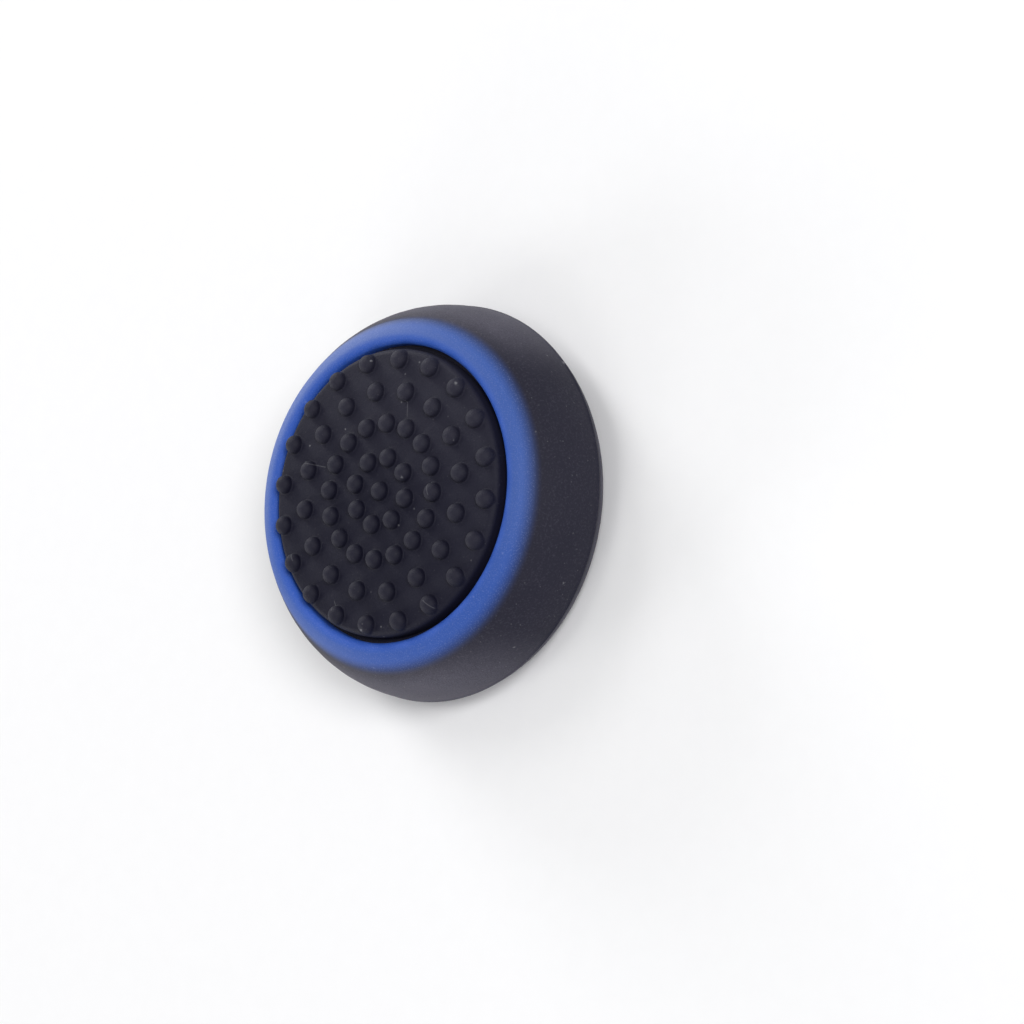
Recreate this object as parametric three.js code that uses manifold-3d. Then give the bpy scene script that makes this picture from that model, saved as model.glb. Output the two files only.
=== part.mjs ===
// A thumb grip that stretches over the head of a game controller's stick. Its black silicone body
// has a crowned pad with rings of round studs on top, a bellied side wall, and a lower lip that
// curls in to hold the stick's head. A coloured silicone ring lies on the ledge round the pad.
//
// Frame: millimetres, +Z up along the grip's axis, origin at the middle of the open rim that the
// grip stands on. The rings of studs are counted from +X.
import * as THREE from 'three';
import { mergeVertices } from 'three/addons/utils/BufferGeometryUtils.js';
import Module from 'manifold-3d';

// Driving dimensions. A height is above the open rim unless its comment says otherwise.

// The hollow that takes the stick's head
const CAVITY_RADIUS = 9.4;
const CAVITY_HEIGHT = 4.25;         // from the lip to the roof
const CAVITY_ROUNDING = 0.9;        // where the roof meets the side
const LIP_THICKNESS = 1.25;
const LIP_REACH = 2.0;              // how far the lip comes in under the stick's head
const LIP_ROUNDING = 0.5;
const LIP_ROOT_ROUNDING = 0.3;      // where the lip leaves the side

// The side wall, the parting line of the mould and the lower curl
const WALL_THICKNESS = 2.55;        // at the parting line
const PARTING_HEIGHT = 1.76;
const FLASH_PROUD = 0.05;           // the thin ridge that the mould leaves at the parting line
const FLASH_WIDTH = 0.14;
const CURL_INSET = 0.43;            // the curl's corner, in from the wall
const CURL_HEIGHT = 0.52;
const CURL_ROUNDING = 2.8;
const RIM_INSET = 1.35;             // the outer edge of the flat rim, in from the wall
const RIM_ROUNDING = 0.3;
const BELLY_HEIGHT = 4.15;          // where the upright wall and the sloping shoulder would meet
const BELLY_ROUNDING = 6.4;

// The pad
const ROOF_THICKNESS = 1.93;        // from the roof of the hollow to the middle of the pad
const PAD_RADIUS = 8.62;
const PAD_CROWN = 0.33;             // how far the pad falls from its middle to its edge
const PAD_ROUNDING = 0.4;

// The ledge round the pad, and the coloured ring on it
const LEDGE_DEPTH = 1.15;           // below the pad's edge
const GROOVE_WIDTH = 0.33;          // open gap between the pad and the ring
const RING_HEIGHT = 1.02;           // from the ledge to the crest
const RING_LIP_HEIGHT = 0.6;        // from the ledge to the top of the ring's upright inner face
const RING_CREST_INSET = 0.2;       // from the ring's inner face to the crest
const RING_CREST_ROUNDING = 0.5;
const RING_SHOULDER_INSET = 1.07;   // from the ring's inner face to the outer shoulder
const RING_SHOULDER_DROP = 0.28;    // from the crest down to the outer shoulder
const RING_SHOULDER_ROUNDING = 1.3;

// The studs: one in the middle and four rings round it. The first copy of a ring is turned from
// +X by the given part of the ring's spacing.
const STUD_RADIUS = 0.6;
const STUD_HEIGHT = 0.61;           // above the pad
const STUD_ROOT = 0.3;              // how far a stud's foot reaches down into the pad
const STUD_RINGS = [
  { radius: 0, count: 1, turn: 0 },
  { radius: 2.03, count: 8, turn: -1 / 4 },
  { radius: 4.06, count: 16, turn: 0 },
  { radius: 6.06, count: 16, turn: 1 / 2 },
  { radius: 7.94, count: 20, turn: -1 / 8 },
];

// The colours of the two silicones
const BODY_COLOUR = 0x1f1f24;
const RING_COLOUR = 0x2b51a8;
const SILICONE_ROUGHNESS = 0.75;

// Fineness of the facets
const TURN_FACETS = 60;             // round the grip
const STUD_FACETS = 10;             // round one stud
const STUD_STEPS = 3;               // from a stud's foot to its top
const CROWN_STEPS = 5;              // from the middle of the pad to its edge
const CHORD_ERROR = 0.02;           // how far a facet may stand off a rounded corner
const WELD_DISTANCE = 1e-5;         // points closer than this are one point

// Sizes that follow
const wallRadius = CAVITY_RADIUS + WALL_THICKNESS;
const mouthRadius = CAVITY_RADIUS - LIP_REACH;
const rimRadius = wallRadius - RIM_INSET;
const roofHeight = LIP_THICKNESS + CAVITY_HEIGHT;
const padTop = roofHeight + ROOF_THICKNESS;
const ledgeHeight = padTop - PAD_CROWN - LEDGE_DEPTH;
const ringInner = PAD_RADIUS + GROOVE_WIDTH;
const ringShoulder = new THREE.Vector2(
  ringInner + RING_SHOULDER_INSET, ledgeHeight + RING_HEIGHT - RING_SHOULDER_DROP);
const belly = new THREE.Vector2(wallRadius, BELLY_HEIGHT);

// The sloping shoulder is one straight line from the belly to the ring's shoulder, on both
// pieces. The ring's outer border is where that line meets the ledge.
const borderShare = (ledgeHeight - belly.y) / (ringShoulder.y - belly.y);
const ringBorder = belly.clone().lerp(ringShoulder, borderShare);

// An outline corner: distance from the axis, height, and the radius that it is rounded with.
function corner(r, z, rounding = 0) {
  return { point: new THREE.Vector2(r, z), rounding };
}

// Turns outline corners into points, with an arc in the place of each rounded corner. An arc
// takes at most the whole of an edge, or half of one that has another arc at its far end.
function roundedOutline(corners, closed) {
  const last = corners.length - 1;
  const points = [];
  corners.forEach(({ point, rounding }, i) => {
    const open = !closed && (i === 0 || i === last);
    if (rounding === 0 || open) {
      points.push(point);
      return;
    }
    const before = corners[i === 0 ? last : i - 1];
    const after = corners[i === last ? 0 : i + 1];
    const back = before.point.clone().sub(point);
    const ahead = after.point.clone().sub(point);
    const halfAngle = Math.acos(back.clone().normalize().dot(ahead.clone().normalize())) / 2;
    const room = Math.min(
      back.length() / (before.rounding > 0 ? 2 : 1), ahead.length() / (after.rounding > 0 ? 2 : 1));
    const reach = Math.min(rounding / Math.tan(halfAngle), room);
    const radius = reach * Math.tan(halfAngle);
    back.setLength(reach);
    ahead.setLength(reach);
    const middle = back.clone().add(ahead).setLength(radius / Math.sin(halfAngle)).add(point);
    const from = point.clone().add(back).sub(middle);
    const to = point.clone().add(ahead).sub(middle);
    const swept = from.angleTo(to) * Math.sign(from.cross(to));
    const facet = 2 * Math.acos(1 - Math.min(CHORD_ERROR / radius, 1));
    const steps = Math.max(1, Math.ceil(Math.abs(swept) / facet));
    for (let step = 0; step <= steps; step += 1) {
      const spot = from.clone().rotateAround(new THREE.Vector2(), swept * step / steps);
      points.push(spot.add(middle));
    }
  });
  return points;
}

// Spins an outline round the Z axis.
function turned(outline, facets) {
  return new THREE.LatheGeometry(outline, facets).rotateX(Math.PI / 2);
}

function padHeight(r) {
  return padTop - PAD_CROWN * (r / PAD_RADIUS) ** 2;
}

// The body before its studs, from the middle of the roof round to the middle of the pad
function bodyOutline() {
  const crown = Array.from({ length: CROWN_STEPS }, (_, step) => {
    const r = PAD_RADIUS * (CROWN_STEPS - 1 - step) / CROWN_STEPS;
    return corner(r, padHeight(r));
  });
  return roundedOutline([
    corner(0, roofHeight),
    corner(CAVITY_RADIUS, roofHeight, CAVITY_ROUNDING),
    corner(CAVITY_RADIUS, LIP_THICKNESS, LIP_ROOT_ROUNDING),
    corner(mouthRadius, LIP_THICKNESS, LIP_ROUNDING),
    corner(mouthRadius, 0, LIP_ROUNDING),
    corner(rimRadius, 0, RIM_ROUNDING),
    corner(wallRadius - CURL_INSET, CURL_HEIGHT, CURL_ROUNDING),
    corner(wallRadius, PARTING_HEIGHT - FLASH_WIDTH / 2),
    corner(wallRadius + FLASH_PROUD, PARTING_HEIGHT),
    corner(wallRadius, PARTING_HEIGHT + FLASH_WIDTH / 2),
    corner(belly.x, belly.y, BELLY_ROUNDING),
    corner(ringBorder.x, ringBorder.y),
    corner(PAD_RADIUS, ledgeHeight),
    corner(PAD_RADIUS, padHeight(PAD_RADIUS), PAD_ROUNDING),
    ...crown,
  ], false);
}

function ringOutline() {
  const outline = roundedOutline([
    corner(ringInner, ledgeHeight),
    corner(ringBorder.x, ringBorder.y),
    corner(ringShoulder.x, ringShoulder.y, RING_SHOULDER_ROUNDING),
    corner(ringInner + RING_CREST_INSET, ledgeHeight + RING_HEIGHT, RING_CREST_ROUNDING),
    corner(ringInner, ledgeHeight + RING_LIP_HEIGHT),
  ], true);
  return [...outline, outline[0]];
}

// A round-topped stud, with its own origin on the pad's surface
function studGeometry() {
  const dome = Array.from({ length: STUD_STEPS }, (_, step) => {
    const rise = (step + 1) / STUD_STEPS * Math.PI / 2;
    return new THREE.Vector2(STUD_RADIUS * Math.cos(rise), STUD_HEIGHT * Math.sin(rise));
  });
  dome[STUD_STEPS - 1].x = 0;
  return turned([
    new THREE.Vector2(0, -STUD_ROOT),
    new THREE.Vector2(STUD_RADIUS, -STUD_ROOT),
    new THREE.Vector2(STUD_RADIUS, 0),
    ...dome,
  ], STUD_FACETS);
}

const wasm = await Module();
wasm.setup();

function toSolid(geometry) {
  const bare = geometry.clone();
  bare.deleteAttribute('normal');
  bare.deleteAttribute('uv');
  const merged = mergeVertices(bare, WELD_DISTANCE);
  const vertProperties = merged.attributes.position.array;
  const triVerts = new Uint32Array(merged.index.array);
  return new wasm.Manifold(new wasm.Mesh({ numProp: 3, vertProperties, triVerts }));
}

function toGeometry(solid) {
  const { vertProperties, triVerts } = solid.getMesh();
  const geometry = new THREE.BufferGeometry();
  geometry.setAttribute('position', new THREE.BufferAttribute(vertProperties, 3));
  geometry.setIndex(new THREE.BufferAttribute(triVerts, 1));
  geometry.computeVertexNormals();
  return geometry;
}

// Where each stud stands on the pad
function studPlaces() {
  return STUD_RINGS.flatMap(({ radius, count, turn }) =>
    Array.from({ length: count }, (_, i) => {
      const angle = (i + turn) * 2 * Math.PI / count;
      return new THREE.Vector3(radius * Math.cos(angle), radius * Math.sin(angle), padHeight(radius));
    }));
}

function bodyGeometry() {
  const stud = studGeometry();
  const studs = studPlaces().map(({ x, y, z }) => toSolid(stud.clone().translate(x, y, z)));
  const moulding = studs.reduce((whole, one) => whole.add(one), toSolid(turned(bodyOutline(), TURN_FACETS)));
  return toGeometry(moulding);
}

function piece(name, geometry, colour) {
  const finish = { color: colour, roughness: SILICONE_ROUGHNESS, metalness: 0 };
  const mesh = new THREE.Mesh(geometry, new THREE.MeshStandardMaterial(finish));
  mesh.name = name;
  return mesh;
}

const thumbGrip = new THREE.Group();
thumbGrip.add(piece('grip_body', bodyGeometry(), BODY_COLOUR));
thumbGrip.add(piece('colour_ring', turned(ringOutline(), TURN_FACETS), RING_COLOUR));

export default thumbGrip;
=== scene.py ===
import math

import bmesh
import bpy
from mathutils import Matrix, Vector


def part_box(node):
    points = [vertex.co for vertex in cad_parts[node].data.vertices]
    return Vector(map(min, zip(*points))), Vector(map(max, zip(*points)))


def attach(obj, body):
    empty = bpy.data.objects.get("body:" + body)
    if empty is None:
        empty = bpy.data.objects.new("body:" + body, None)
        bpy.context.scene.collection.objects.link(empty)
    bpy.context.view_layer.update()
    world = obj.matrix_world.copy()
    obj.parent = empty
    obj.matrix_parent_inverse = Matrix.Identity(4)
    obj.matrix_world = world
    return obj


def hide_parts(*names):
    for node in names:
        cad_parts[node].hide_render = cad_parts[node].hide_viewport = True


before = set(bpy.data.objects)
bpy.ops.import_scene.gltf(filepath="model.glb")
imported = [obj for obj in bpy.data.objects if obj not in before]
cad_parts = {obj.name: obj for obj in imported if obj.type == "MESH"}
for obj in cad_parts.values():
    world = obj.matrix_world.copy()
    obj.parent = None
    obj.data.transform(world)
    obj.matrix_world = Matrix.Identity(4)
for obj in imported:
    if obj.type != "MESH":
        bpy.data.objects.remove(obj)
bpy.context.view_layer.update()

MM = 0.001
body_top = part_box("grip_body")[1] / MM
ring_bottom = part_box("colour_ring")[0] / MM
ring_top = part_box("colour_ring")[1] / MM

# Sizes in millimetres. A height is above the open rim that the grip stands on.

# The side wall, the parting line of the mould and the lower curl
FLASH_PROUD = 0.05
FLASH_WIDTH = 0.14
WIDEST_RADIUS = body_top.x
WALL_RADIUS = WIDEST_RADIUS - FLASH_PROUD
PARTING_HEIGHT = 1.76
BELLY_HEIGHT = 4.15
BELLY_ROUNDING = 6.4
CURL_INSET = 0.43
CURL_HEIGHT = 0.52
CURL_ROUNDING = 2.8
RIM_RADIUS = 10.6
RIM_ROUNDING = 0.3

# The hollow for the stick's head, and the lip that comes in under it
CAVITY_RADIUS = 9.4
CAVITY_ROUNDING = 0.9
ROOF_HEIGHT = 5.5
LIP_THICKNESS = 1.25
MOUTH_RADIUS = 7.4
LIP_ROUNDING = 0.5
LIP_ROOT_ROUNDING = 0.3

# The studs: one in the middle, and rings as radius, count and turn in shares of a ring's spacing
STUD_RADIUS = 0.57
STUD_HEIGHT = 0.61
STUD_FILLET = 0.10
STUD_SINK = 0.004  # how far the fillet's thin edge lies below the pad
STUD_ROOT = 0.3
STUD_RINGS = [(2.03, 8, -1 / 4), (4.06, 16, 0), (6.06, 16, 1 / 2), (7.94, 20, -1 / 8)]

# The pad, which falls by its crown from the middle to the edge
PAD_RADIUS = 8.62
PAD_TOP = body_top.z - STUD_HEIGHT
PAD_CROWN = 0.33
PAD_ROUNDING = 0.4

# The ledge round the pad, the groove and the blue ring
LEDGE = ring_bottom.z
BORDER_RADIUS = ring_top.x
GROOVE_WIDTH = 0.33
RING_INNER = PAD_RADIUS + GROOVE_WIDTH
RING_LIP = LEDGE + 0.6
RING_CREST = LEDGE + 1.02
RING_CREST_INSET = 0.2
RING_CREST_ROUNDING = 0.5
RING_SHOULDER_RADIUS = RING_INNER + 1.07
RING_SHOULDER = RING_CREST - 0.28
RING_SHOULDER_ROUNDING = 1.3

# Fineness of the shapes
TURN_STEPS = 256
STUD_TURN_STEPS = 36
CROWN_STEPS = 12
DOME_STEPS = 10
ARC_STEP = math.radians(6)
SHARP_ANGLE = math.radians(40)
MERGE_DISTANCE = 1e-4


def draw_outline(bm, corners, closed=False):
    """Draws (radius, height, rounding) corners in the XZ plane, with an arc at each rounded one."""
    spots = [Vector((r, 0, z)) for r, z, _ in corners]
    ends = []
    for i, (_, _, rounding) in enumerate(corners):
        if not rounding:
            ends.append([bm.verts.new(spots[i])] * 2)
            continue
        back = (spots[i - 1] - spots[i]).normalized()
        ahead = (spots[(i + 1) % len(spots)] - spots[i]).normalized()
        half = back.angle(ahead) / 2
        reach = rounding / math.tan(half)
        middle = spots[i] + (back + ahead).normalized() * rounding / math.sin(half)
        first = spots[i] + back * reach
        last = spots[i] + ahead * reach
        axis = (first - middle).cross(last - middle)
        sweep = math.pi - 2 * half
        steps = max(2, math.ceil(sweep / ARC_STEP))
        start = bm.verts.new(first)
        arc = bmesh.ops.spin(
            bm, geom=[start], cent=middle, axis=axis, dvec=(0, 0, 0),
            angle=sweep, steps=steps, use_merge=False, use_duplicate=False)
        ends.append([start, arc["geom_last"][0]])
    for (_, leave), (arrive, _) in zip(ends, ends[1:]):
        bm.edges.new((leave, arrive))
    if closed:
        bm.edges.new((ends[-1][1], ends[0][0]))


def spin_outline(bm, steps):
    """Spins everything drawn so far once round the Z axis."""
    bmesh.ops.spin(
        bm, geom=bm.verts[:] + bm.edges[:], cent=(0, 0, 0), axis=(0, 0, 1), dvec=(0, 0, 0),
        angle=math.tau, steps=steps, use_merge=True, use_duplicate=False)
    bmesh.ops.remove_doubles(bm, verts=bm.verts, dist=MERGE_DISTANCE)
    bmesh.ops.recalc_face_normals(bm, faces=bm.faces)


def object_from(bm, name):
    """Turns a bmesh into an object of the scene."""
    mesh = bpy.data.meshes.new(name)
    bm.to_mesh(mesh)
    bm.free()
    piece = bpy.data.objects.new(name, mesh)
    bpy.context.scene.collection.objects.link(piece)
    return piece


def finish_in_metres(piece):
    """Scales a piece to metres and smooths it, apart from its sharp corners."""
    piece.data.transform(Matrix.Scale(MM, 4))
    piece.data.shade_smooth()
    piece.data.set_sharp_from_angle(angle=SHARP_ANGLE)
    return piece


def crown_height(r):
    return PAD_TOP - PAD_CROWN * (r / PAD_RADIUS) ** 2


def edge_fall(r):
    """How far the pad's rounded edge has fallen below the crown's line."""
    run = min(max(r - PAD_RADIUS + PAD_ROUNDING, 0), PAD_ROUNDING)
    return PAD_ROUNDING - math.sqrt(PAD_ROUNDING ** 2 - run ** 2)


def make_moulding():
    """The black body before its studs, from the roof of the hollow round to the pad's middle."""
    crown_radii = [PAD_RADIUS * (1 - step / CROWN_STEPS) for step in range(1, CROWN_STEPS + 1)]
    bm = bmesh.new()
    draw_outline(bm, [
        (0, ROOF_HEIGHT, 0),
        (CAVITY_RADIUS, ROOF_HEIGHT, CAVITY_ROUNDING),
        (CAVITY_RADIUS, LIP_THICKNESS, LIP_ROOT_ROUNDING),
        (MOUTH_RADIUS, LIP_THICKNESS, LIP_ROUNDING),
        (MOUTH_RADIUS, 0, LIP_ROUNDING),
        (RIM_RADIUS, 0, RIM_ROUNDING),
        (WALL_RADIUS - CURL_INSET, CURL_HEIGHT, CURL_ROUNDING),
        (WALL_RADIUS, PARTING_HEIGHT - FLASH_WIDTH / 2, 0),
        (WIDEST_RADIUS, PARTING_HEIGHT, 0),
        (WALL_RADIUS, PARTING_HEIGHT + FLASH_WIDTH / 2, 0),
        (WALL_RADIUS, BELLY_HEIGHT, BELLY_ROUNDING),
        (BORDER_RADIUS, LEDGE, 0),
        (PAD_RADIUS, LEDGE, 0),
        (PAD_RADIUS, crown_height(PAD_RADIUS), PAD_ROUNDING),
        *((r, crown_height(r), 0) for r in crown_radii),
    ])
    spin_outline(bm, TURN_STEPS)
    return object_from(bm, "grip_moulding")


def draw_stud(bm):
    """One round-topped stud on the grip's axis, with a fillet at its foot and a root below it."""
    foot = STUD_RADIUS + STUD_FILLET + STUD_SINK
    dome = STUD_HEIGHT - STUD_FILLET
    rises = [math.pi / 2 * step / DOME_STEPS for step in range(DOME_STEPS)]
    draw_outline(bm, [
        (0, -STUD_ROOT, 0),
        (foot, -STUD_ROOT, 0),
        (foot, -STUD_SINK, 0),
        (STUD_RADIUS, -STUD_SINK, STUD_FILLET),
        *((STUD_RADIUS * math.cos(rise), STUD_FILLET + dome * math.sin(rise), 0) for rise in rises),
        (0, STUD_HEIGHT, 0),
    ])
    spin_outline(bm, STUD_TURN_STEPS)
    # Half a step's turn keeps the stud's corners off the pad's straight radial edges.
    half_step = Matrix.Rotation(math.pi / STUD_TURN_STEPS, 3, "Z")
    bmesh.ops.rotate(bm, verts=bm.verts, cent=(0, 0, 0), matrix=half_step)


def make_studs():
    """All the studs, whose feet follow the crown of the pad and the fall of its rounded edge."""
    bm = bmesh.new()
    draw_stud(bm)
    stud = bm.verts[:] + bm.edges[:] + bm.faces[:]
    for ring_radius, count, turn in STUD_RINGS:
        for i in range(count):
            copy = bmesh.ops.duplicate(bm, geom=stud)["geom"]
            verts = [part for part in copy if isinstance(part, bmesh.types.BMVert)]
            spacing = Matrix.Rotation(math.tau * (i + turn) / count, 3, "Z")
            bmesh.ops.translate(bm, verts=verts, vec=spacing @ Vector((ring_radius, 0, 0)))
    for vert in bm.verts:
        near_foot = 1 - max(vert.co.z, 0) / STUD_HEIGHT
        r = vert.co.xy.length
        vert.co.z += crown_height(r) - edge_fall(r) * near_foot
    return object_from(bm, "studs")


def make_body():
    """The black body in one piece, with the studs joined to its pad."""
    body = make_moulding()
    studs = make_studs()
    join = body.modifiers.new("studs", "BOOLEAN")
    join.operation = "UNION"
    join.solver = "EXACT"
    join.object = studs
    bpy.context.view_layer.update()
    joined = body.evaluated_get(bpy.context.evaluated_depsgraph_get())
    body.data = bpy.data.meshes.new_from_object(joined)
    body.modifiers.clear()
    bpy.data.objects.remove(studs)

    # Closes up the slivers that are left where a stud's foot meets the pad.
    bm = bmesh.new()
    bm.from_mesh(body.data)
    bmesh.ops.remove_doubles(bm, verts=bm.verts, dist=MERGE_DISTANCE)
    bmesh.ops.dissolve_degenerate(bm, edges=bm.edges, dist=MERGE_DISTANCE)
    bm.to_mesh(body.data)
    bm.free()
    return finish_in_metres(body)


def make_ring():
    """The blue band that lies on the ledge round the pad."""
    bm = bmesh.new()
    draw_outline(bm, [
        (RING_INNER, LEDGE, 0),
        (BORDER_RADIUS, LEDGE, 0),
        (RING_SHOULDER_RADIUS, RING_SHOULDER, RING_SHOULDER_ROUNDING),
        (RING_INNER + RING_CREST_INSET, RING_CREST, RING_CREST_ROUNDING),
        (RING_INNER, RING_LIP, 0),
    ], closed=True)
    spin_outline(bm, TURN_STEPS)
    return finish_in_metres(object_from(bm, "ring_band"))


class Wire:
    """A socket of a finish's nodes, so that sums on it are written as plain Python."""

    def __init__(self, finish, socket):
        self.finish = finish
        self.socket = socket

    def maths(self, operation, *values):
        return self.finish.node("ShaderNodeMath", {"operation": operation}, dict(enumerate(values)))

    def __add__(self, other):
        return self.maths("ADD", self, other)

    def __radd__(self, other):
        return self.maths("ADD", other, self)

    def __sub__(self, other):
        return self.maths("SUBTRACT", self, other)

    def __rsub__(self, other):
        return self.maths("SUBTRACT", other, self)

    def __mul__(self, other):
        return self.maths("MULTIPLY", self, other)

    def __rmul__(self, other):
        return self.maths("MULTIPLY", other, self)

    def size(self):
        return self.maths("ABSOLUTE", self)

    def larger(self, other):
        return self.maths("MAXIMUM", self, other)

    def smaller(self, other):
        return self.maths("MINIMUM", self, other)

    def rise(self, start, end):
        """A soft step from 0 at start to 1 at end, where start may be above end."""
        sockets = {"Value": self, "From Min": start, "From Max": end, "To Min": 0.0, "To Max": 1.0}
        return self.finish.node("ShaderNodeMapRange", {"interpolation_type": "SMOOTHSTEP"}, sockets)


class Finish:
    """A procedural material, built node by node, whose patterns are measured in millimetres."""

    def __init__(self, name):
        self.material = bpy.data.materials.new(name)
        self.material.use_nodes = True
        self.tree = self.material.node_tree
        self.shader = self.tree.nodes["Principled BSDF"]
        metres = self.node("ShaderNodeTexCoord", {}, {}, "Object")
        self.place = self.vector_maths("SCALE", {0: metres, "Scale": 1 / MM})
        self.flat = self.vector_maths("MULTIPLY", {0: self.place, 1: (1, 1, 0)})
        self.radius = self.vector_maths("LENGTH", {0: self.flat}, "Value")
        self.height = self.node("ShaderNodeSeparateXYZ", {}, {0: self.place}, "Z")

    def node(self, kind, settings, sockets, output=0):
        """Adds a node: its settings first, then a value or a wire for each named socket."""
        made = self.tree.nodes.new(kind)
        for name, value in settings.items():
            setattr(made, name, value)
        for name, value in sockets.items():
            if isinstance(value, Wire):
                self.tree.links.new(value.socket, made.inputs[name])
            else:
                made.inputs[name].default_value = value
        return Wire(self, made.outputs[output])

    def vector_maths(self, operation, sockets, output="Vector"):
        return self.node("ShaderNodeVectorMath", {"operation": operation}, sockets, output)

    def along(self, way):
        """How far a point lies from the grip's axis in a direction."""
        return self.vector_maths("DOT_PRODUCT", {0: self.place, 1: way}, "Value")

    def side(self, way, start, end):
        """A soft step from 0 to 1 towards one side of the grip."""
        return self.along(way).rise(start, end)

    def mix(self, share, below, above):
        """A colour between two others, by a share from 0 to 1."""
        below, above = [value if isinstance(value, Wire) else (*value, 1) for value in (below, above)]
        sockets = {0: share, 6: below, 7: above}
        return self.node("ShaderNodeMix", {"data_type": "RGBA"}, sockets, 2)

    def noise(self, per_mm, detail):
        sockets = {"Vector": self.place, "Scale": per_mm, "Detail": detail}
        return self.node("ShaderNodeTexNoise", {}, sockets, "Fac")

    def specks(self, per_mm, size, kept):
        """Round specks of a size in cells, in a kept share of the cells."""
        cells = {"Vector": self.place, "Scale": per_mm}
        from_middle = self.node("ShaderNodeTexVoronoi", {}, cells, "Distance")
        tint = self.node("ShaderNodeTexVoronoi", {}, cells, "Color")
        chance = self.node("ShaderNodeSeparateColor", {}, {0: tint}, "Red")
        return from_middle.rise(size * per_mm, 0.0) * chance.rise(kept, kept * 0.6)

    def spot(self, place, size, ragged):
        """A soft mark at a place, with an outline as ragged as the given pattern from 0 to 1."""
        gap = self.vector_maths("DISTANCE", {0: self.place, 1: place}, "Value")
        outer = size * 1.7
        inner = size * 0.5
        raggedness = size * 1.6
        return (gap + ragged * raggedness).rise(outer, inner)

    def hair(self, start, end, width):
        """A fine fibre that lies from start to end, seen from above."""
        start, end = Vector((*start, 0)), Vector((*end, 0))
        length = (end - start).length
        way = (end - start).normalized()
        offset = self.vector_maths("SUBTRACT", {0: self.flat, 1: start})
        travel = self.vector_maths("DOT_PRODUCT", {0: offset, 1: way}, "Value")
        travel = travel.larger(0.0).smaller(length)
        reached = self.vector_maths("SCALE", {0: way, "Scale": travel})
        gap = self.vector_maths("DISTANCE", {0: offset, 1: reached}, "Value")
        return gap.rise(width, 0.0)

    def connect(self, **sockets):
        """Joins wires to the shader's sockets, whose spaces are written as underscores."""
        for name, value in sockets.items():
            self.tree.links.new(value.socket, self.shader.inputs[name.replace("_", " ")])

    def bump(self, height, depth):
        """Raises the surface by a height from 0 to 1, of a depth in millimetres."""
        sockets = {"Height": height, "Distance": depth * MM}
        self.connect(Normal=self.node("ShaderNodeBump", {}, sockets))


# How the blue fades into the black, along the slope of the shoulder in millimetres
SLOPE = Vector((WALL_RADIUS - RING_SHOULDER_RADIUS, BELLY_HEIGHT - RING_SHOULDER)).normalized()
SLOPE_START = SLOPE.dot(Vector((RING_SHOULDER_RADIUS, RING_SHOULDER)))
FADE_START = SLOPE_START + 0.03
FADE_END = SLOPE_START + 1.38

# How the blue deepens towards the ring's inner face, as distances from the grip's axis
DEEP_START = RING_INNER + 0.75
DEEP_END = RING_INNER + 0.1

# The silicones' colours: their own, darker for painted shade, and pale for dust with painted light
BLACK = (0.0045, 0.0042, 0.0165)
# Painted shade: a darker black for the pad's +X +Y side
SHADED_BLACK = (0.0014, 0.0012, 0.0125)
# Dust and painted light: the pale black that the dust film, painted sheen and painted light lean
# towards
DUST_AND_LIGHT_BLACK = (0.080, 0.076, 0.104)
BLUE = (0.040, 0.097, 0.342)
# Painted shade: a darker, deeper blue for the ring's +Y side
SHADED_BLUE = (0.024, 0.080, 0.345)
DEEP_BLUE = (0.020, 0.092, 0.48)
# Dust and painted sheen: the pale blue that dust, powder and painted sheen lean towards
DUST_AND_SHEEN_BLUE = (0.26, 0.33, 0.60)
DUST = (0.36, 0.36, 0.38)

# The silicones' gloss, and the depth of their fine relief in millimetres
BLACK_SPECULAR = 0.33
BLACK_ROUGHNESS = 0.62
BLACK_RELIEF = 0.03
BLUE_SPECULAR = 0.4
BLUE_ROUGHNESS = 0.58
BLUE_RELIEF = 0.022

# Patterns of the skin and of its dust, as scale per millimetre and detail
GRAIN = (13.0, 2.0)
MOTTLE = (4.0, 3.0)
BLACK_CLOUD = (0.5, 4.0)
BLUE_CLOUD = (0.6, 3.0)
POWDER = (8.0, 2.0)
RAGGED = (5.0, 2.0)

# Specks all over the skin, as cells per millimetre, size and the share of the cells that has one
FINE_SPECKS = (3.0, 0.06, 0.5)
COARSE_SPECKS = (1.1, 0.10, 0.3)
RING_SPECKS = (2.0, 0.05, 0.3)

# Sides of the grip painted lighter or darker for how the light falls, as painted light, sheen and
# shade:
# a direction from the axis, and how far along it the change starts and is complete
# Painted light: the pad paler towards -Y
LIT_PAD_SIDE = ((0, -1, 0), -1.0, 6.0)
# Painted shade: the pad darker towards +X +Y
SHADED_PAD_SIDE = ((0.7, 0.7, 0), -5.0, 1.0)
# Painted sheen: the ring paler towards +X -Y
SHEEN_RING_SIDE = ((0.8, -0.6, 0), 3.0, 10.5)
# Painted shade: the ring darker towards +Y
SHADED_RING_SIDE = ((-0.5, 0.87, 0), 5.0, 9.5)

# The two ends of the wall towards +Y and -Y, painted paler as sheen: how far out the painted sheen
# starts and is complete, and how low
WALL_ENDS_WAY = (0, 1, 0)
WALL_ENDS_REACH = (7.2, 11.5)
WALL_ENDS_HEIGHTS = (7.0, 4.5)

# How thick the pale films lie, where 1 is a full coat: dust on the wall, painted sheen at its ends,
# powder, dust and a painted floor reflection on the curl, a paler tone on the studs' tops, painted
# light on the pad, painted sheen and powder on the ring
WALL_FILM = 0.07
WALL_END_SHEEN = 0.8
POWDER_FILM = 0.8
CURL_DUST_AND_REFLECTION = 0.3
STUD_TOP_PALING = 0.075
STUD_TOP_START = 0.15  # height above the pad, in millimetres
PAD_PAINTED_LIGHT = 0.05
RING_SHEEN = 0.24
RING_POWDER = 0.6

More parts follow.
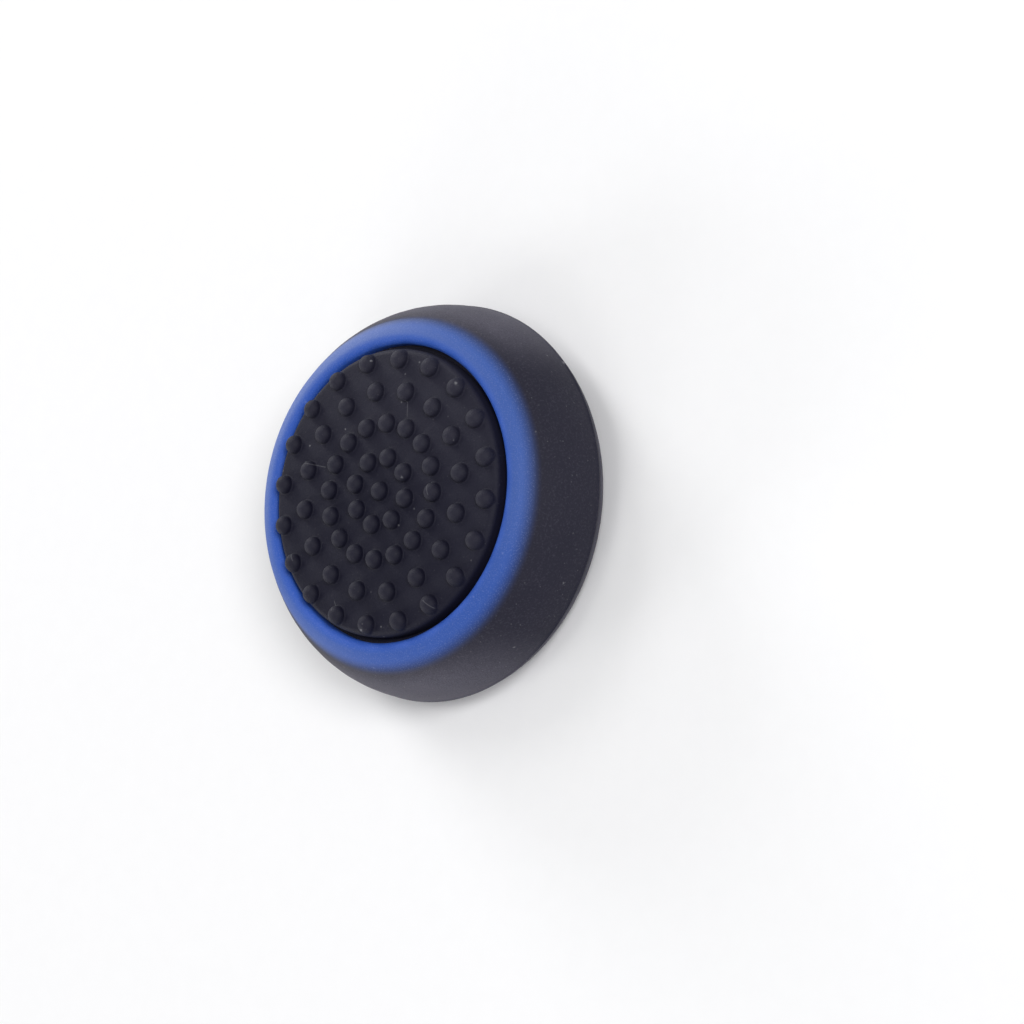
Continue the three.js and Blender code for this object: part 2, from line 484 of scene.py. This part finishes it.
# Dust that lies on the grip, in millimetres: specks as place and size, fibres as start and end
SPECKS = [
    ((1.7, -7.8, 7.5), 0.13),
    ((-8.4, -8.5, 1.8), 0.24),
    ((7.3, -5.4, 6.8), 0.13),
    ((6.2, -2.7, 7.2), 0.10),
    ((3.4, -3.7, 7.3), 0.10),
    ((-1.9, -0.8, 7.9), 0.14),
    ((-5.2, -6.4, 7.6), 0.20),
    ((-5.4, -3.1, 7.6), 0.12),
    ((0.4, 8.3, 7.6), 0.20),
    ((0.4, 10.4, 6.2), 0.13),
    ((3.4, 10.4, 5.5), 0.16),
    ((-9.2, 3.4, 6.7), 0.12),
    ((-7.4, 6.0, 6.8), 0.12),
    ((-10.9, 4.7, 3.0), 0.12),
    ((-8.0, 8.6, 3.5), 0.12),
]
SPECK_STRENGTH = 0.5
FIBRES = [
    ((-1.3, -5.4), (-1.4, -4.5)),
    ((6.1, -1.6), (4.7, -1.4)),
    ((3.1, 6.6), (2.8, 7.2)),
    ((-4.3, 6.4), (-4.9, 6.8)),
    ((6.3, 4.3), (6.6, 3.9)),
    ((-3.8, -0.6), (-4.1, 0.2)),
]
FIBRE_WIDTH = 0.05
FIBRE_STRENGTH = 0.14


def blue_left(finish):
    """How much blue is left at a point: 1 on the ring, fading to 0 past its border."""
    return (finish.radius * SLOPE.x + finish.height * SLOPE.y).rise(FADE_END, FADE_START)


def settled_dust(finish):
    """The specks that have settled on the grip, and the fibres that lie on its top."""
    ragged = finish.noise(*RAGGED)
    marks = [finish.spot(place, size, ragged) * SPECK_STRENGTH for place, size in SPECKS]
    top = finish.height.rise(RING_LIP - 0.4, RING_LIP)
    marks += [finish.hair(start, end, FIBRE_WIDTH) * top * FIBRE_STRENGTH for start, end in FIBRES]
    dust = marks[0]
    for mark in marks[1:]:
        dust = dust.larger(mark)
    return dust


def skin_roughness(base, grain, mottle):
    return base + mottle * 0.08 + grain * 0.08


def skin_relief(grain, mottle, dust):
    return grain * 0.7 + mottle * 0.6 + dust * 0.3


def dust_and_painted_light(finish, wall):
    """How thick the pale film lies on the black: dust on the wall and the curl, painted sheen at the
    wall's two ends, a painted reflection of the floor on the curl, a paler tone on the studs' tops,
    and painted light on the pad's -Y side.
    """
    cloud = finish.noise(*BLACK_CLOUD)
    powder = (finish.noise(*POWDER) - 0.5).larger(0.0)
    # Painted sheen: the wall paler at its two ends towards +Y and -Y
    ends = finish.along(WALL_ENDS_WAY).size().rise(*WALL_ENDS_REACH)
    ends = ends * finish.height.rise(*WALL_ENDS_HEIGHTS)
    dust_and_light = wall * (ends * WALL_END_SHEEN + powder * POWDER_FILM + WALL_FILM) * (cloud * 0.6 + 0.7)

    # Dust and a painted reflection of the floor: the lower curl paler below the parting line
    curl = finish.height.rise(PARTING_HEIGHT, PARTING_HEIGHT - 0.5)
    curl = curl * finish.radius.rise(RIM_RADIUS - 0.1, RIM_RADIUS + 0.4)
    dust_and_light = dust_and_light + curl * (cloud * 0.8 + CURL_DUST_AND_REFLECTION)

    # The studs' tops paler
    crown_fall = finish.radius * finish.radius * (PAD_CROWN / PAD_RADIUS ** 2)
    above_pad = finish.height + crown_fall - PAD_TOP
    dust_and_light = dust_and_light + above_pad.rise(STUD_TOP_START, STUD_HEIGHT) * STUD_TOP_PALING
    # Painted light: the pad paler towards -Y
    return dust_and_light + (1.0 - wall) * finish.side(*LIT_PAD_SIDE) * PAD_PAINTED_LIGHT


def black_silicone():
    """Matte black with a film of dust and painted light, painted shade on the pad, and the last of
    the blue on the shoulder below the ring.
    """
    finish = Finish("black_silicone")
    grain = finish.noise(*GRAIN)
    mottle = finish.noise(*MOTTLE)
    wall = finish.radius.rise(PAD_RADIUS, RING_INNER)
    # Painted shade: the pad darker towards +X +Y
    shaded_side = (1.0 - wall) * finish.side(*SHADED_PAD_SIDE)
    colour = finish.mix(shaded_side, BLACK, SHADED_BLACK)
    # Dust with painted sheen, a painted reflection and painted light, mixed towards the pale black
    colour = finish.mix(dust_and_painted_light(finish, wall) * (grain * 1.6 + 0.2), colour, DUST_AND_LIGHT_BLACK)

    shoulder = finish.radius.rise(RING_INNER, BORDER_RADIUS)
    shoulder = shoulder * finish.height.rise(BELLY_HEIGHT, LEDGE)
    colour = finish.mix(blue_left(finish) * shoulder, colour, BLUE)

    fine = finish.specks(*FINE_SPECKS) * (0.06 + wall * 0.14)
    coarse = finish.specks(*COARSE_SPECKS) * 0.3
    dust = fine.larger(coarse).larger(settled_dust(finish))
    colour = finish.mix(dust * (0.5 + grain), colour, DUST)
    roughness = skin_roughness(BLACK_ROUGHNESS, grain, mottle) + dust * 0.2
    finish.connect(Base_Color=colour, Roughness=roughness)
    finish.bump(skin_relief(grain, mottle, dust), BLACK_RELIEF)
    return finish


def blue_silicone():
    """Satin blue, deepest on the inner edge, paler with painted sheen and darker with painted shade
    on two sides, black at its border.
    """
    finish = Finish("blue_silicone")
    cloud = finish.noise(*BLUE_CLOUD)
    grain = finish.noise(*GRAIN)
    mottle = finish.noise(*MOTTLE)
    inner = finish.radius.rise(DEEP_START, DEEP_END)
    # Painted shade: the ring darker and deeper blue towards +Y
    colour = finish.mix(finish.side(*SHADED_RING_SIDE), BLUE, SHADED_BLUE)
    colour = finish.mix(cloud * 0.2 + mottle * 0.1, colour, DEEP_BLUE)
    colour = finish.mix(inner, colour, DEEP_BLUE)
    colour = finish.mix(blue_left(finish), BLACK, colour)

    # Painted sheen: the ring paler towards +X -Y, away from its inner edge; then pale powder from the
    # grain
    sheen_and_powder = finish.side(*SHEEN_RING_SIDE) * (1.0 - inner) * RING_SHEEN
    sheen_and_powder = sheen_and_powder + (grain - 0.5).larger(0.0) * RING_POWDER
    fine = finish.specks(*RING_SPECKS) * 0.4
    # The pale marks here are dust specks and fibres, powder and the painted sheen
    dust = fine.larger(settled_dust(finish)).larger(sheen_and_powder)
    colour = finish.mix(dust * (0.5 + grain), colour, DUST_AND_SHEEN_BLUE)
    finish.connect(Base_Color=colour, Roughness=skin_roughness(BLUE_ROUGHNESS, grain, mottle))
    finish.bump(skin_relief(grain, mottle, dust), BLUE_RELIEF)
    return finish


def dress(piece, finish, specular, node):
    """Gives a piece its finish, and puts it in the place of its node."""
    finish.shader.inputs["Specular IOR Level"].default_value = specular
    piece.data.materials.clear()
    piece.data.materials.append(finish.material)
    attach(piece, "root")
    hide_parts(node)


# The floor, the camera and the lights, in metres
FLOOR_REACH = 1.5
PAPER_SHADES = [(0.89, 0.89, 0.90), (0.91, 0.91, 0.92)]


def make_floor():
    """A sheet of white paper that the grip stands on."""
    bm = bmesh.new()
    bmesh.ops.create_grid(bm, x_segments=1, y_segments=1, size=FLOOR_REACH)
    floor = object_from(bm, "floor")
    paper = Finish("white_paper")
    fibres = paper.noise(0.8, 3.0)
    paper.connect(Base_Color=paper.mix(fibres, *PAPER_SHADES), Roughness=0.7 + fibres * 0.1)
    floor.data.materials.append(paper.material)


# The camera looks down on the pad and the side from -X, turned so that -Y is up in the picture.
CAMERA_AIM = Vector((-3.148, 0.141, -0.995)) * MM
CAMERA_DISTANCE = 0.300
CAMERA_AZIMUTH = math.radians(172.56)
CAMERA_ELEVATION = math.radians(49.78)
CAMERA_ROLL = math.radians(-79.06)
CAMERA_LENS = 175.57
CAMERA_CLIP = (0.01, 10)


def direction(azimuth, elevation):
    """The way from the grip towards something, by its azimuth from +X and its elevation."""
    level = math.cos(elevation)
    return Vector((math.cos(azimuth) * level, math.sin(azimuth) * level, math.sin(elevation)))


def make_camera():
    camera = bpy.data.objects.new("camera", bpy.data.cameras.new("camera"))
    bpy.context.scene.collection.objects.link(camera)
    camera.data.lens = CAMERA_LENS
    camera.data.clip_start, camera.data.clip_end = CAMERA_CLIP
    back = direction(CAMERA_AZIMUTH, CAMERA_ELEVATION)
    camera.location = CAMERA_AIM + back * CAMERA_DISTANCE
    turn = back.to_track_quat("Z", "Y").to_matrix() @ Matrix.Rotation(CAMERA_ROLL, 3, "Z")
    camera.rotation_euler = turn.to_euler()
    bpy.context.scene.camera = camera


# The studio: soft round lights as name, azimuth from +X, elevation in degrees and power in watts
LIGHT_DISTANCE = 0.4
LIGHT_SIZE = 0.16
SOFT_LIGHTS = [
    ("front_low", 28, 14, 0.45),
    ("side_low", 75, 14, 0.23),
    ("side_high", 90, 45, 0.14),
    ("back_high", 192, 45, 0.87),
    ("corner_high", 315, 45, 0.25),
    ("corner_low", 320, 14, 0.66),
    ("overhead", 0, 85, 0.11),
]
SKY_STRENGTH = 0.30


def light_studio():
    for name, azimuth, elevation, power in SOFT_LIGHTS:
        light = bpy.data.lights.new(name, "AREA")
        light.shape = "DISK"
        light.size = LIGHT_SIZE
        light.energy = power
        lamp = bpy.data.objects.new(name, light)
        away = direction(math.radians(azimuth), math.radians(elevation))
        lamp.location = away * LIGHT_DISTANCE
        lamp.rotation_euler = away.to_track_quat("Z", "Y").to_euler()
        bpy.context.scene.collection.objects.link(lamp)
    world = bpy.data.worlds.new("studio")
    world.use_nodes = True
    sky = world.node_tree.nodes["Background"]
    sky.inputs["Color"].default_value = (1, 1, 1, 1)
    sky.inputs["Strength"].default_value = SKY_STRENGTH
    bpy.context.scene.world = world
    bpy.context.scene.view_settings.view_transform = "Standard"


dress(make_body(), black_silicone(), BLACK_SPECULAR, "grip_body")
dress(make_ring(), blue_silicone(), BLUE_SPECULAR, "colour_ring")
make_floor()
make_camera()
light_studio()
